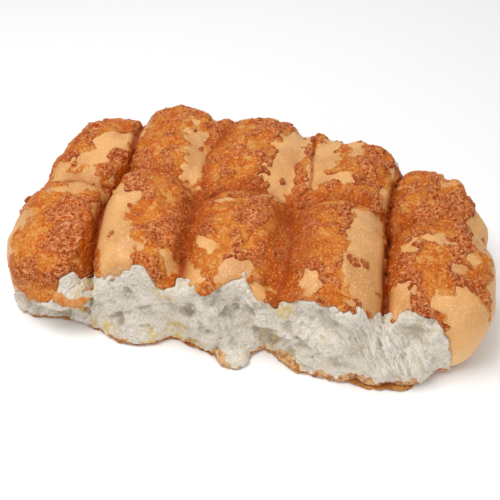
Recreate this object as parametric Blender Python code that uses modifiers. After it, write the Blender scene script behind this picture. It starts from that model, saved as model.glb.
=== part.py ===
"""Pull-apart batch of ten cheese-topped soft rolls, torn from a larger bake.

The batch is one piece of bread: two rows of five rolls that grew together in the oven. Both ends are
natural crust. The front and the back are torn, so the crumb shows there from the crust down to the base.
Metres, +Z up, +X along the rows, -Y towards the torn front. The origin is on the flat base, under the
valley between the two rows.
"""

import math
from typing import NamedTuple

import bmesh
import bpy
from mathutils import Matrix, Vector, noise

MM = 0.001

# Driving dimensions of the bake
PITCH = 62 * MM
ROW_DEPTH = 80 * MM
CROWN = 64 * MM

# A roll is widest at its waist, and its rounded foot is cut flat where it stood on the tray
WAIST = 24 * MM
FOOT = 46 * MM
PLAN_POWER = 2.6
PROFILE_POWER = 2.9
ROLL_SEGMENTS = 64
ROLL_RINGS = 40

# Unevenness of the dough
UNEVEN = 24 * MM
UNEVEN_HEIGHT = 2.2 * MM

# Melted cheese on the crust
CHEESE_RISE = 2.4 * MM
CHEESE_RAGGED = 0.9
CHEESE_EDGE = 11 * MM
CHEESE_LUMP = 8 * MM
CHEESE_LEVEL = 0.55
CHEESE_SWING = 1.2
CHEESE_LINE = (-0.05, 0.15)
CHEESE_FLOOR = 22 * MM
CHEESE_TOP = 35 * MM

# Torn faces: the place of the tear, and the crags in it
TEAR_GRID = 2.4 * MM
TEAR_REACH = 90 * MM
TEAR_LENGTH = 400 * MM
TEAR_FOOT = -12 * MM
TEAR_TOP = 108 * MM
TEAR_LOW = 6 * MM
TEAR_HIGH = 46 * MM
FLAP_HIGH = 30 * MM
FLAP_ENDS = (-112 * MM, -96 * MM)
LUMP = 19 * MM
LUMP_HEIGHT = 3.4 * MM
CRAG = 8 * MM
CRAG_HEIGHT = 2.2 * MM
FINE_CRAG = CRAG / 2.1
FINE_CRAG_SHARE = 0.5
SKIRT = 2.5 * MM
SKIRT_TOP = 5 * MM
FRONT_SEED = 3.1
BACK_SEED = 8.7
SCRAP_ROUGH = 0.35

# Foot left below the base while the mesh is thinned, so that the last cut is flat
SPARE_FOOT = 2 * MM

# Mesh sizes
VOXEL = 2.0 * MM
FINE_VOXEL = 1.5 * MM
MOST_TRIANGLES = 11000

# Looks of the crust
CRUST_COLOUR = (0.63, 0.33, 0.13, 1.0)
CRUST_ROUGHNESS = 0.55


class Roll(NamedTuple):
    """One roll: its middle in pitches and rows, its size as shares of a pitch, a row and the crown.

    The turn is in degrees. The foot is a share of the usual one: a smaller one draws in more at the base.
    """

    name: str
    column: float
    row: float
    width: float
    depth: float
    crown: float
    turn: float
    foot: float = 1


ROLLS = (
    Roll("front_1", -1.88, -0.47, 1.02, 1.19, 0.89, 6),
    Roll("front_2", -0.96, -0.46, 1.00, 1.42, 1.10, 11),
    Roll("front_3", 0.01, -0.50, 1.10, 1.38, 1.02, 5),
    Roll("front_4", 1.00, -0.46, 1.10, 1.42, 1.05, 0),
    Roll("front_5", 2.03, -0.35, 1.16, 1.04, 0.98, -4, 0.8),
    Roll("back_1", -1.81, 0.49, 0.96, 1.14, 0.92, -15),
    Roll("back_2", -1.03, 0.65, 1.06, 1.30, 0.99, 3),
    Roll("back_3", -0.06, 0.65, 1.18, 1.34, 0.97, 0),
    Roll("back_4", 1.00, 0.57, 1.08, 1.30, 0.94, -3),
    Roll("back_5", 1.96, 0.38, 1.06, 1.08, 0.90, 14),
)

# Dough that fills the joints: its middle, its half sizes and its top, all in millimetres
BRIDGES = (
    (-97, -10, 9, 34, 36),
    (-87, -42, 9, 34, 33),
    (-81, -70, 9, 30, 33),
    (-31, -42, 15, 60, 55),
    (31, -42, 14, 60, 54),
    (94, -42, 9, 56, 33),
    (108, -50, 24, 34, 43),
    (-92, 46, 10, 50, 44),
    (-35, 46, 14, 58, 58),
    (33, 50, 12, 56, 56),
    (94, 40, 10, 46, 44),
    (-120, 4, 26, 20, 48),
    (-62, 8, 28, 22, 57),
    (0, 6, 30, 22, 56),
    (62, 6, 28, 22, 56),
    (126, 0, 28, 22, 53),
)

# The front tear in plan, in millimetres: along the crust, and along the base
FRONT_CRUST = (
    (-200, -90), (-150, -89), (-118, -88), (-100, -86), (-72, -82), (-62, -80), (-50, -76), (-33, -82),
    (-8, -84), (8, -70), (25, -79), (46, -76), (58, -76), (73, -84), (95, -78), (104, -69), (118, -64),
    (129, -66), (136, -90), (200, -110),
)
FRONT_BASE = (
    (-200, -80), (-123, -77), (-99, -75), (-81, -79), (-65, -86), (-45, -84), (-32, -74), (-13, -83),
    (5, -82), (26, -72), (51, -86), (82, -85), (103, -88), (119, -83), (130, -76), (137, -92), (200, -110),
)

# Hollows in the front crumb, in millimetres: their middle along X and Z, their half sizes and their depth
FRONT_HOLLOWS = (
    (-126, 17, 24, 12, 9),
    (-66, 22, 15, 12, 4),
    (-20, 38, 9, 8, 5),
    (12, 20, 9, 8, 5),
    (36, 16, 9, 7, 5),
)

# The back tear in plan, in the same way as the front one
BACK_CRUST = (
    (-200, 92), (-124, 86), (-95, 84), (-66, 95), (-30, 90), (-3, 97), (30, 88), (50, 88), (53, 72),
    (61, 82), (71, 78), (95, 66), (120, 58), (124, 52), (134, 50), (140, 38), (150, 24), (200, 10),
)
BACK_BASE = (
    (-200, 90), (-124, 84), (-95, 82), (-62, 96), (-32, 88), (0, 99), (32, 88), (64, 90), (96, 72),
    (128, 62), (150, 40), (200, 16),
)
BACK_HOLLOWS = (
    (-60, 26, 16, 11, 5),
    (4, 20, 14, 10, 5),
    (66, 28, 14, 11, 5),
)

# Crust that the cheese left bare, in millimetres: the middle, the half sizes and the turn in degrees
BARE = (
    (-104, -18, 9, 24, 20),
    (-80, -52, 12, 40, 14),
    (-6, -68, 20, 20, 0),
    (82, -42, 13, 44, 8),
    (97, -18, 8, 12, 0),
    (102, -56, 8, 16, 0),
    (146, -54, 18, 20, 0),
    (-111, 20, 12, 36, -32),
    (-91, 56, 8, 18, 0),
    (-40, 30, 8, 32, 8),
    (22, 43, 14, 32, -10),
    (44, 58, 13, 24, -15),
    (152, 20, 12, 34, 0),
)

# Scraps that hang at the front tear, in millimetres: a torn lobe, and a flap of base crust
SCRAPS = (
    ("torn_lobe", (-104, -79, 27), (20, 8, 8), 8),
    ("hanging_flap", (9, -85, 3), (10, 8, 3), -12),
)


def signed_power(value, power):
    return math.copysign(abs(value) ** power, value)


def rounded_point(direction, half, plan_power, profile_power):
    """The point of a superellipsoid of these half sizes that a unit direction names."""
    flat = math.hypot(direction.x, direction.y)
    around = math.atan2(direction.y, direction.x)
    ring = flat ** (2 / profile_power)
    return Vector(
        (
            half[0] * ring * signed_power(math.cos(around), 2 / plan_power),
            half[1] * ring * signed_power(math.sin(around), 2 / plan_power),
            half[2] * signed_power(direction.z, 2 / profile_power),
        )
    )


def along(line, x):
    """How far back a plan line runs at this x, by straight stretches between its points."""
    place = x / MM
    for (x_0, y_0), (x_1, y_1) in zip(line, line[1:]):
        if place <= x_1:
            share = (place - x_0) / (x_1 - x_0)
            return (y_0 + (y_1 - y_0) * max(share, 0)) * MM
    return line[-1][1] * MM


def smooth_step(low, high, value):
    share = min(max((value - low) / (high - low), 0), 1)
    return share * share * (3 - 2 * share)


def crags(point, seed):
    """The relief of torn crumb at a point: soft lumps with sharper crags on them."""
    place = point + Vector((seed, seed, seed))
    lump = noise.noise(place / LUMP) * LUMP_HEIGHT
    crag = noise.noise(place / CRAG) + FINE_CRAG_SHARE * noise.noise(place / FINE_CRAG)
    return lump + crag * CRAG_HEIGHT


def hollow_depth(hollows, x, z):
    """How far the tear bites in beyond its plan lines."""
    depth = 0
    for middle_x, middle_z, half_x, half_z, most in hollows:
        away = ((x / MM - middle_x) / half_x) ** 2 + ((z / MM - middle_z) / half_z) ** 2
        depth += most * MM * math.exp(-away)
    return depth


def link(name, mesh, collection):
    made = bpy.data.objects.new(name, mesh)
    collection.objects.link(made)
    return made


def dough(name, place, half, rise, foot, turn, collection):
    """A ball that proved against its neighbours: square in plan, domed above its waist."""
    shape = bmesh.new()
    bmesh.ops.create_uvsphere(shape, u_segments=ROLL_SEGMENTS, v_segments=ROLL_RINGS, radius=1)
    for vertex in shape.verts:
        height = rise if vertex.co.z > 0 else foot
        vertex.co = rounded_point(vertex.co.normalized(), (*half, height), PLAN_POWER, PROFILE_POWER)
    bmesh.ops.rotate(shape, verts=shape.verts[:], matrix=Matrix.Rotation(math.radians(turn), 3, "Z"))
    bmesh.ops.translate(shape, verts=shape.verts[:], vec=(*place, WAIST))
    mesh = bpy.data.meshes.new(name)
    shape.to_mesh(mesh)
    shape.free()
    return link(name, mesh, collection)


def make_roll(roll, collection):
    place = (roll.column * PITCH, roll.row * ROW_DEPTH)
    half = (roll.width * PITCH / 2, roll.depth * ROW_DEPTH / 2)
    rise = roll.crown * CROWN - WAIST
    return dough(roll.name, place, half, rise, roll.foot * FOOT, roll.turn, collection)


def make_bridge(number, bridge, collection):
    x, y, half_x, half_y, top = (value * MM for value in bridge)
    return dough(f"bridge_{number}", (x, y), (half_x, half_y), top - WAIST, FOOT, 0, collection)


def make_scrap(name, place, half, turn, collection):
    """A small torn lump of bread that still clings to the front."""
    shape = bmesh.new()
    bmesh.ops.create_uvsphere(shape, u_segments=32, v_segments=20, radius=1)
    for vertex in shape.verts:
        rough = 1 + SCRAP_ROUGH * noise.noise(vertex.co * 2)
        vertex.co = Vector([size * MM * rough * value for size, value in zip(half, vertex.co)])
    bmesh.ops.rotate(shape, verts=shape.verts[:], matrix=Matrix.Rotation(math.radians(turn), 3, "Z"))
    bmesh.ops.translate(shape, verts=shape.verts[:], vec=Vector(place) * MM)
    mesh = bpy.data.meshes.new(name)
    shape.to_mesh(mesh)
    shape.free()
    return link(name, mesh, collection)


def tear_tool(name, crust, base, hollows, side, seed, collection):
    """A block whose inner face is the torn surface: it runs through the crust line and the base line."""
    shape = bmesh.new()
    steps_x = round(TEAR_LENGTH / TEAR_GRID)
    steps_z = round((TEAR_TOP - TEAR_FOOT) / TEAR_GRID)
    bmesh.ops.create_grid(shape, x_segments=steps_x, y_segments=steps_z, size=0.5)
    inner = list(shape.verts)
    for vertex in inner:
        x = vertex.co.x * TEAR_LENGTH
        z = TEAR_FOOT + (vertex.co.y + 0.5) * (TEAR_TOP - TEAR_FOOT)
        high = FLAP_HIGH + (TEAR_HIGH - FLAP_HIGH) * smooth_step(*FLAP_ENDS, x)
        share = smooth_step(TEAR_LOW, high, z)
        y = along(base, x) * (1 - share) + along(crust, x) * share
        place = Vector((x, y, z))
        skirt = SKIRT * (1 - smooth_step(0, SKIRT_TOP, z)) * (1 + noise.noise(place / CRAG))
        y += side * (crags(place, seed) + skirt - hollow_depth(hollows, x, z))
        vertex.co = (x, y, z)
    grown = bmesh.ops.extrude_face_region(shape, geom=shape.faces[:])
    outer = [item for item in grown["geom"] if isinstance(item, bmesh.types.BMVert)]
    for vertex in outer:
        vertex.co.y = side * (ROW_DEPTH + TEAR_REACH)
    bmesh.ops.recalc_face_normals(shape, faces=shape.faces[:])
    mesh = bpy.data.meshes.new(name)
    shape.to_mesh(mesh)
    shape.free()
    made = link(name, mesh, collection)
    made.hide_render = True
    made.display_type = "WIRE"
    return made


def add_boolean(target, operation, **operand):
    cut = target.modifiers.new(operation.lower(), "BOOLEAN")
    cut.operation = operation
    cut.solver = "MANIFOLD"
    for key, value in operand.items():
        setattr(cut, key, value)


def add_voxels(target, size):
    voxels = target.modifiers.new("voxels", "REMESH")
    voxels.mode = "VOXEL"
    voxels.voxel_size = size
    voxels.use_smooth_shade = True


def bake_modifiers(target):
    """Turns the object's modifiers into plain mesh."""
    bpy.context.view_layer.update()
    graph = bpy.context.evaluated_depsgraph_get()
    mesh = bpy.data.meshes.new_from_object(target.evaluated_get(graph))
    target.modifiers.clear()
    target.data = mesh


def remove_all(collection):
    for made in list(collection.objects):
        bpy.data.objects.remove(made)
    bpy.data.collections.remove(collection)


def cheese_cover(point):
    """Above 0 where cheese lies, below 0 on bare crust, with a ragged line between."""
    cover = 1
    for x, y, half_x, half_y, turn in BARE:
        away = Vector((point.x / MM - x, point.y / MM - y))
        away.rotate(Matrix.Rotation(math.radians(-turn), 2))
        cover = min(cover, math.hypot(away.x / half_x, away.y / half_y) - 1)
    return cover + CHEESE_RAGGED * noise.noise(point / CHEESE_EDGE)


def cheese_height(point):
    """How thick the cheese lies: nothing on bare crust, and lumps where it melted and set."""
    cover = smooth_step(*CHEESE_LINE, cheese_cover(point))
    lump = CHEESE_LEVEL + CHEESE_SWING * noise.noise(point / CHEESE_LUMP)
    return CHEESE_RISE * cover * lump


def raised(vertex):
    """Where a vertex of the crust goes: the dough is uneven, and cheese lies on its upper side."""
    high = smooth_step(CHEESE_FLOOR, CHEESE_TOP, vertex.co.z)
    cheese = cheese_height(vertex.co) * high * max(vertex.normal.z, 0)
    uneven = UNEVEN_HEIGHT * noise.noise(vertex.co / UNEVEN)
    return vertex.co + vertex.normal * (cheese + uneven)


def raise_cheese(target):
    places = [raised(vertex) for vertex in target.data.vertices]
    for vertex, place in zip(target.data.vertices, places):
        vertex.co = place


def keep_largest(shape):
    """Drops the loose scraps that a tear leaves."""
    left = set(shape.verts)
    bodies = []
    while left:
        body = {left.pop()}
        edge_of_body = list(body)
        while edge_of_body:
            vertex = edge_of_body.pop()
            for edge in vertex.link_edges:
                other = edge.other_vert(vertex)
                if other in left:
                    left.remove(other)
                    body.add(other)
                    edge_of_body.append(other)
        bodies.append(body)
    bodies.sort(key=len)
    for scrap in bodies[:-1]:
        bmesh.ops.delete(shape, geom=list(scrap), context="VERTS")


def cut_foot(target, level):
    """Cuts everything below a level off flat, and closes the body."""
    shape = bmesh.new()
    shape.from_mesh(target.data)
    keep_largest(shape)
    everything = shape.verts[:] + shape.edges[:] + shape.faces[:]
    cut = bmesh.ops.bisect_plane(
        shape, geom=everything, plane_co=(0, 0, level), plane_no=(0, 0, 1), clear_inner=True
    )
    rim = [item for item in cut["geom_cut"] if isinstance(item, bmesh.types.BMEdge)]
    bmesh.ops.holes_fill(shape, edges=rim)
    keep_largest(shape)
    shape.to_mesh(target.data)
    shape.free()


def thin_out(target):
    thin = target.modifiers.new("thin_out", "DECIMATE")
    target.data.calc_loop_triangles()
    thin.ratio = min(1, MOST_TRIANGLES / len(target.data.loop_triangles))
    thin.use_collapse_triangulate = True


def crust_material():
    made = bpy.data.materials.new("baked_crust")
    made.use_nodes = True
    shader = made.node_tree.nodes["Principled BSDF"]
    shader.inputs["Base Color"].default_value = CRUST_COLOUR
    shader.inputs["Roughness"].default_value = CRUST_ROUGHNESS
    shader.inputs["Metallic"].default_value = 0
    return made


def clear_scene():
    for leftover in list(bpy.data.objects):
        bpy.data.objects.remove(leftover)


def new_collection(name):
    made = bpy.data.collections.new(name)
    bpy.context.scene.collection.children.link(made)
    return made


def make_batch():
    balls = new_collection("balls")
    parts = new_collection("cheese_roll_batch")
    cutters = new_collection("cutters")
    first, *others = ROLLS
    batch = make_roll(first, parts)
    batch.name = "roll_batch"
    for roll in others:
        make_roll(roll, balls)
    for number, bridge in enumerate(BRIDGES):
        make_bridge(number, bridge, balls)
    add_boolean(batch, "UNION", operand_type="COLLECTION", collection=balls)
    add_voxels(batch, VOXEL)
    bake_modifiers(batch)
    remove_all(balls)
    raise_cheese(batch)
    front = tear_tool("front_tear", FRONT_CRUST, FRONT_BASE, FRONT_HOLLOWS, -1, FRONT_SEED, cutters)
    back = tear_tool("back_tear", BACK_CRUST, BACK_BASE, BACK_HOLLOWS, 1, BACK_SEED, cutters)
    scraps = new_collection("scraps")
    for scrap in SCRAPS:
        make_scrap(*scrap, scraps)
    add_boolean(batch, "DIFFERENCE", object=front)
    add_boolean(batch, "DIFFERENCE", object=back)
    add_boolean(batch, "UNION", operand_type="COLLECTION", collection=scraps)
    add_voxels(batch, FINE_VOXEL)
    bake_modifiers(batch)
    remove_all(scraps)
    cut_foot(batch, -SPARE_FOOT)
    thin_out(batch)
    bake_modifiers(batch)
    cut_foot(batch, 0)
    remove_all(cutters)
    batch.data.materials.clear()
    batch.data.materials.append(crust_material())
    return batch


def main():
    clear_scene()
    make_batch()


main()
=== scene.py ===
"""Pull-apart batch of cheese-topped soft rolls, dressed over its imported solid.

The solid gives the form. Here it gets a fine crust, melted cheese that lies on the crust, torn crumb
at the front and the back, a ragged edge of base crust, and the torn crust of a lobe at the left.
"""

import math

import bpy
import numpy as np
from bpy.props import FloatProperty, FloatVectorProperty, PointerProperty
from bpy.types import Operator, Panel, PropertyGroup
from mathutils import Matrix, Vector, noise


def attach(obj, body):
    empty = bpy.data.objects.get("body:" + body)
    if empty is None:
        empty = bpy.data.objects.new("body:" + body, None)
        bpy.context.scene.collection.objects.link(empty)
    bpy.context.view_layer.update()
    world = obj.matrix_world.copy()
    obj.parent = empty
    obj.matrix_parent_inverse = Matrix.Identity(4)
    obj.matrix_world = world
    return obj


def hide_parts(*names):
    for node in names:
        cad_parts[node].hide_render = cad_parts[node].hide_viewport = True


bl_info = {
    "name": "Cheese Roll Batch",
    "version": (1, 0, 0),
    "blender": (4, 5, 0),
    "location": "View3D > Sidebar > Bakery",
    "description": "Dresses a pull-apart batch of cheese-topped rolls",
    "category": "Add Mesh",
}

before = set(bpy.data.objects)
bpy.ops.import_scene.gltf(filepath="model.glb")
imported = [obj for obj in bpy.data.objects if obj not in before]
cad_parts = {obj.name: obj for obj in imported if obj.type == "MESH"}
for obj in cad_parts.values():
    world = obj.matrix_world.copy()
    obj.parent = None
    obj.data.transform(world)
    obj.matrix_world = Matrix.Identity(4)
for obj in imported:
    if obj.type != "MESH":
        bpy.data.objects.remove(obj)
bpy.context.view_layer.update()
NODE = "roll_batch"
MM = 0.001

# The most triangles of one piece, and how often a peeled piece is cleared of corners that only touch
MOST_TRIANGLES = 190000
PEEL_ROUNDS = 4

# Where the front and the back tear run in plan, in millimetres, as in the solid: at the crust and at the
# base. Between the two heights the tear goes over from the base's line to the crust's.
FRONT_CRUST = (
    (-200, -90), (-150, -89), (-118, -88), (-100, -86), (-72, -82), (-62, -80), (-50, -76), (-33, -82),
    (-8, -84), (8, -70), (25, -79), (46, -76), (58, -76), (73, -84), (95, -78), (104, -69), (118, -64),
    (129, -66), (136, -90), (200, -110),
)
FRONT_BASE = (
    (-200, -80), (-123, -77), (-99, -75), (-81, -79), (-65, -86), (-45, -84), (-32, -74), (-13, -83),
    (5, -82), (26, -72), (51, -86), (82, -85), (103, -88), (119, -83), (130, -76), (137, -92), (200, -110),
)
BACK_CRUST = (
    (-200, 92), (-124, 86), (-95, 84), (-66, 95), (-30, 90), (-3, 97), (30, 88), (50, 88), (53, 72),
    (61, 82), (71, 78), (95, 66), (120, 58), (124, 52), (134, 50), (140, 38), (150, 24), (200, 10),
)
BACK_BASE = (
    (-200, 90), (-124, 84), (-95, 82), (-62, 96), (-32, 88), (0, 99), (32, 88), (64, 90), (96, 72),
    (128, 62), (150, 40), (200, 16),
)
TEAR_LOW = 6 * MM
TEAR_HIGH = 46 * MM

# How high the crust's torn edge runs along the front, in millimetres
FRONT_EDGE = (
    (-200, -20), (-146, -20), (-141, 8), (-136, 17), (-126, 22), (-112, 25), (-104, 28), (-101, 41),
    (-98, 44), (-94, 41), (-90, 38), (-84, 40), (-78, 44), (-74, 50), (-72, 56), (-71, 50), (-63, 50),
    (-60, 55), (-49, 64), (-45, 61), (-42, 55), (-37, 47), (-33, 48), (-30, 52), (-25, 52), (-15, 55),
    (-8, 49), (-3, 55), (10, 59), (15, 60), (18, 51), (28, 51), (32, 46), (41, 52), (51, 55), (58, 55),
    (67, 57), (73, 56), (76, 59), (84, 52), (95, 40), (101, 41), (106, 45), (112, 47), (121, 45), (127, 46),
    (133, 36), (138, 22), (141, 0), (150, -20),
)

# How far behind the tear the crumb reaches at the front and at the back, and how high the whole foot is
FRONT_REACH = 12 * MM
BACK_REACH = 7 * MM
TORN_FOOT = 1.6 * MM

# Where the back tear ends along X, and from where on it is lower than this
BACK_ENDS = (-124 * MM, 142 * MM)
BACK_STEP = 118 * MM
BACK_TOP = 40 * MM

# A point is in a torn crumb's piece above this share of torn, and crust gives way to crumb between these
TORN_RIM = 0.12
TORN_EDGE = (0.42, 0.62)

# The lobe of bread that hangs at the left end of the front tear: the line of its crust, along X and in
# height in millimetres, half of the crust's width, and the plane in front of which it lies
LOBE = ((-108, 35), (-103, 32), (-99, 29.5), (-95, 27.5), (-90, 26), (-86, 26.5), (-83, 29))
LOBE_WIDTH = 4.4 * MM
LOBE_FRONT = -70 * MM

# Deep hollows of the front crumb, in millimetres: along X, the height, the reach and the depth
HOLLOWS = (
    (-3, 52, 4, 2), (-5, 45, 5, 2.5), (6, 32, 6, 3), (-9, 22, 6, 3), (17, 38, 5, 2.5), (26, 20, 8, 3.5),
    (50, 24, 7, 2.5), (29, 12, 7, 3), (-64, 18, 6, 3), (-47, 30, 4, 2), (-126, 14, 12, 1.2), (-20, 33, 5, 2),
    (72, 16, 6, 2), (-56, 40, 4, 1.5), (64, 44, 11, 2), (84, 40, 7, 1.5), (116, 34, 10, 2), (-89, 13, 5, 4),
)

# The band of pulled strands, in millimetres and degrees: its middle along X and in height, half of its
# length and of its breadth, how steeply it falls to the right, and how steeply its strands and the other
# fibres do
PULLED = (98, 28, 34, 14)
BAND_TURN = 33
PULL_TURN = 58
LOOSE_TURN = -65

# The creases between neighbouring rolls, in millimetres: their points in plan, how deep they fold in,
# half of the fold's width, half of the width of fat stain and painted shade beside them, and how dark
# their painted shade and stain are from 0 to 1
CREASES = (
    (((-85, -90), (-84, -70), (-87, -56), (-90, -40), (-94, -20), (-93, 4)), 7, 4.4, 9, 1.0),
    (((-93, 4), (-90, 16), (-89, 28), (-92, 44), (-95, 60), (-97, 92)), 5, 3.6, 6, 0.8),
    (((97, -90), (96, -62), (94, -45), (93, -24), (92, 4)), 7, 4, 8, 1.0),
    (((92, 4), (91, 24), (92, 44), (97, 60), (100, 76)), 5, 3.6, 6, 0.8),
    (((30, 10), (36, 22), (36, 36), (34, 50), (33, 64), (30, 95)), 3, 2.4, 3, 0.6),
    (((-30, 6), (-35, 17), (-38, 40), (-35, 52), (-32, 64), (-29, 95)), 2, 4, 9, 0.45),
    (((-22, -84), (-27, -60), (-28, -44), (-31, -24), (-32, 0)), 1.8, 6, 16, 0.5),
    (((30, -90), (34, -72), (36, -56), (34, -32), (30, -12), (28, 4)), 1.6, 6, 24, 0.5),
    (((-130, 2), (-106, 1), (-93, 4), (-80, 12), (-58, 13), (-45, 9), (-32, 1), (-22, 8), (-4, 11), (14, 13),
      (26, 8), (38, 6), (54, 11), (76, 12), (90, 4), (108, 5)), 2.2, 5, 11, 0.4),
)
FOLD_WIDTH, STAIN_AND_SHADE_WIDTH, DARKNESS = 2, 3, 4

# Where the closed backs of the front and the back crumb lie inside the bread
FRONT_CAP = -52 * MM
BACK_CAP = 14 * MM
CAP_HEIGHT = 22 * MM

# How high the baked wall of the base reaches up the torn faces, in millimetres: along X the middle and
# the half width, and the height
FRONT_WALL = (
    (-118, 12, 1.5), (-62, 10, 4), (-30, 16, 3), (2, 9, 5), (24, 8, 4), (43, 10, 8), (66, 8, 6), (86, 14, 7.5),
    (102, 6, 5), (115, 8, 8), (133, 9, 7),
)
BACK_WALL = ((-100, 10, 4), (-62, 14, 6), (-20, 10, 3), (30, 16, 6), (84, 12, 5), (120, 12, 4))

# The torn hole in the left of the front where brown crust shows, in millimetres: along X, the height
# and the reach
HOLE = (-89, 13, 4)

# Fat that soaked into the crumb, in millimetres: along X, the height and the reach
FAT = (
    (-34, 46, 9), (37, 46, 10), (-28, 8, 12), (-44, 6, 10), (-14, 4, 8), (-72, 8, 7), (-80, 5, 6), (30, 8, 9),
    (-86, 34, 8), (118, 40, 4), (46, 5, 8), (-92, 12, 4),
)

# Where the strips of base crust end along X, in millimetres, and over what length they fade there
FRONT_STRIP = (-132, 129)
BACK_STRIP = (-120, 140)
STRIP_FADE = 14

# Where the base crust sticks out more, in millimetres: along X the middle and the half width, and how far
FRONT_LIPS = (
    (-118, 8, 0.8), (-96, 4, 0.8), (-62, 9, 2.2), (-30, 15, 1.2), (1, 7, 2), (24, 7, 1.2), (43, 8, 2.2),
    (83, 18, 3.2), (115, 6, 2.2),
)
BACK_LIPS = ((-100, 8, 2), (-62, 12, 2), (-20, 8, 1.5), (30, 14, 2.5), (84, 10, 2))

# The length of a strip's cell, and how far it reaches in under the bread
LIP_STEP = 0.6 * MM
LIP_INSIDE = 9 * MM

# Where the pieces of cheese meet along X, how far they overlap, and how thick they are
LEFT_SEAM = -92 * MM
RIGHT_SEAM = 94 * MM
SEAM_LAP = 1.8 * MM
CHEESE_THICKNESS = 1.2 * MM

# Crust that the cheese left bare, in millimetres: the middle, the half sizes and the turn in degrees
BARE = (
    (-144, -62, 9, 30, 0), (-112, -8, 7, 12, -20), (-77, -46, 11, 46, 22), (-76, -30, 9, 6, 0),
    (20, -79, 4, 6, 0), (-90, 4, 7, 6, 0), (5, -70, 13, 9, 0), (-18, -64, 6, 16, -10), (-14, -12, 8, 3, 15),
    (81, -38, 12, 44, 3), (53, -69, 4.5, 5, 0), (80, -4, 9, 6, 0), (104, -61, 10, 9, 0), (146, -64, 20, 13, 0),
    (162, -30, 9, 30, 0), (155, 8, 14, 34, 0), (108, -22, 4, 5, 20), (120, -18, 6, 3, 0), (142, -29, 6, 3, 0),
    (135, -39, 3, 3, 0), (-110, 24, 9, 33, -28), (-131, 10, 9, 7, 0), (-93, 52, 4, 14, 0),
    (-47, 40, 6, 25, 10), (17, 46, 10, 42, -10), (42, 58, 9, 26, -6), (57, 31, 11, 5, 0), (62, 66, 5, 7, 0),
    (89, 38, 3, 11, 0), (128, 44, 5, 3, 0), (-38, -68, 6, 2, 0),
)

# Cheese that lies on those bare places, in the same way
SPOTS = (
    (-66, -56, 4, 4, 0), (-11, -71, 4.5, 14, 18), (-18, -60, 8, 3.5, 10), (-29, -62, 4, 14, -8),
    (71, -51, 8, 3.5, 10), (-120, 9, 9, 2.4, 28), (-96, 28, 6, 12, -30), (28, 46, 2.6, 8, 0),
    (20, 26, 4, 3, 0), (-84, -8, 8, 2.5, 12), (152, 8, 3, 2, 0), (-104, -12, 8, 2.5, 15), (46, 36, 5, 4, 0),
)

# The point that the camera looks at, and the width of its sensor in millimetres
LOOK_AT = (0.005, -0.018, 0.030)
SENSOR = 36


def hex_colour(text):
    """A linear colour from an sRGB hex value."""
    parts = [int(text[place:place + 2], 16) / 255 for place in (1, 3, 5)]
    return [part / 12.92 if part <= 0.04045 else ((part + 0.055) / 1.055) ** 2.4 for part in parts]


def size_property(name, description, size):
    return FloatProperty(name=name, description=description, default=size, unit="LENGTH", precision=5)


def angle_property(name, description, degrees):
    return FloatProperty(name=name, description=description, default=math.radians(degrees), subtype="ANGLE")


def colour_property(name, description, colour):
    return FloatVectorProperty(
        name=name, description=description, subtype="COLOR", size=3, min=0, max=1, default=hex_colour(colour)
    )


class CrustSettings(PropertyGroup):
    """Sizes and colours of the crust."""

    voxel: size_property("Voxel", "Cell size of the crust's mesh", 1.7 * MM)
    golden: colour_property("Golden", "Baked crust on the flanks", "#E4A965")
    pale: colour_property("Pale", "Lighter crust near the base", "#EABC84")
    toasted: colour_property("Toasted", "Browner crust on the crowns", "#CF9153")
    # Painted shade: crust drawn darker and redder down in the creases and hollows
    crease: colour_property("Crease", "Crust and fat in the creases between rolls", "#9A4612")
    # Fat stain beside the creases, with painted shade over it
    fat_stain_and_shade: colour_property("Stain", "Crust that fat soaked beside the creases", "#C4772C")
    underside: colour_property("Underside", "Crust that stood on the tray", "#A4672F")
    speck: colour_property("Speck", "Fine pale specks of the crust", "#EFD3A6")
    inside: colour_property("Inside", "Bread deep in the pores of the crumb", "#C9BDA8")
    # Painted shade: crumb in shade, on the body under the torn crumb where it shows down in the pores
    strip: colour_property("Strip", "Orange crust on the torn lobe", "#CB7A30")


class CheeseSettings(PropertyGroup):
    """Sizes and colours of the melted cheese."""

    rise: size_property("Rise", "Height of the cheese on the crust", 0.9 * MM)
    sink: size_property("Sink", "Depth of the cheese's rim in the crust", 1.3 * MM)
    blister: size_property("Blister", "Height of the blisters", 1.0 * MM)
    thin: colour_property("Thin", "Film so thin that the crust shows through", "#DC9C50")
    yellow: colour_property("Yellow", "Thin melted film", "#D47E28")
    orange: colour_property("Orange", "Melted cheese", "#C45E06")
    brown: colour_property("Brown", "Browned cheese", "#AE4806")
    # Browned cheese, which also gives painted shade in the hollows between the blisters and the wrinkles
    deep: colour_property("Deep", "Browned cheese between the blisters", "#943400")
    # Painted highlight on the blisters' tips, along the wrinkles' ridges and on the fine grain
    bright: colour_property("Bright", "Dry tips of the blisters", "#E8A56C")
    # Fatty film in the creases, darkened beside them with painted shade
    fatty: colour_property("Fatty", "Film that lies thick and fatty in the creases", "#B65000")
    # Painted shade of the cheese down in the creases and hollows
    dark: colour_property("Dark", "Cheese down in the creases", "#963800")


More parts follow.
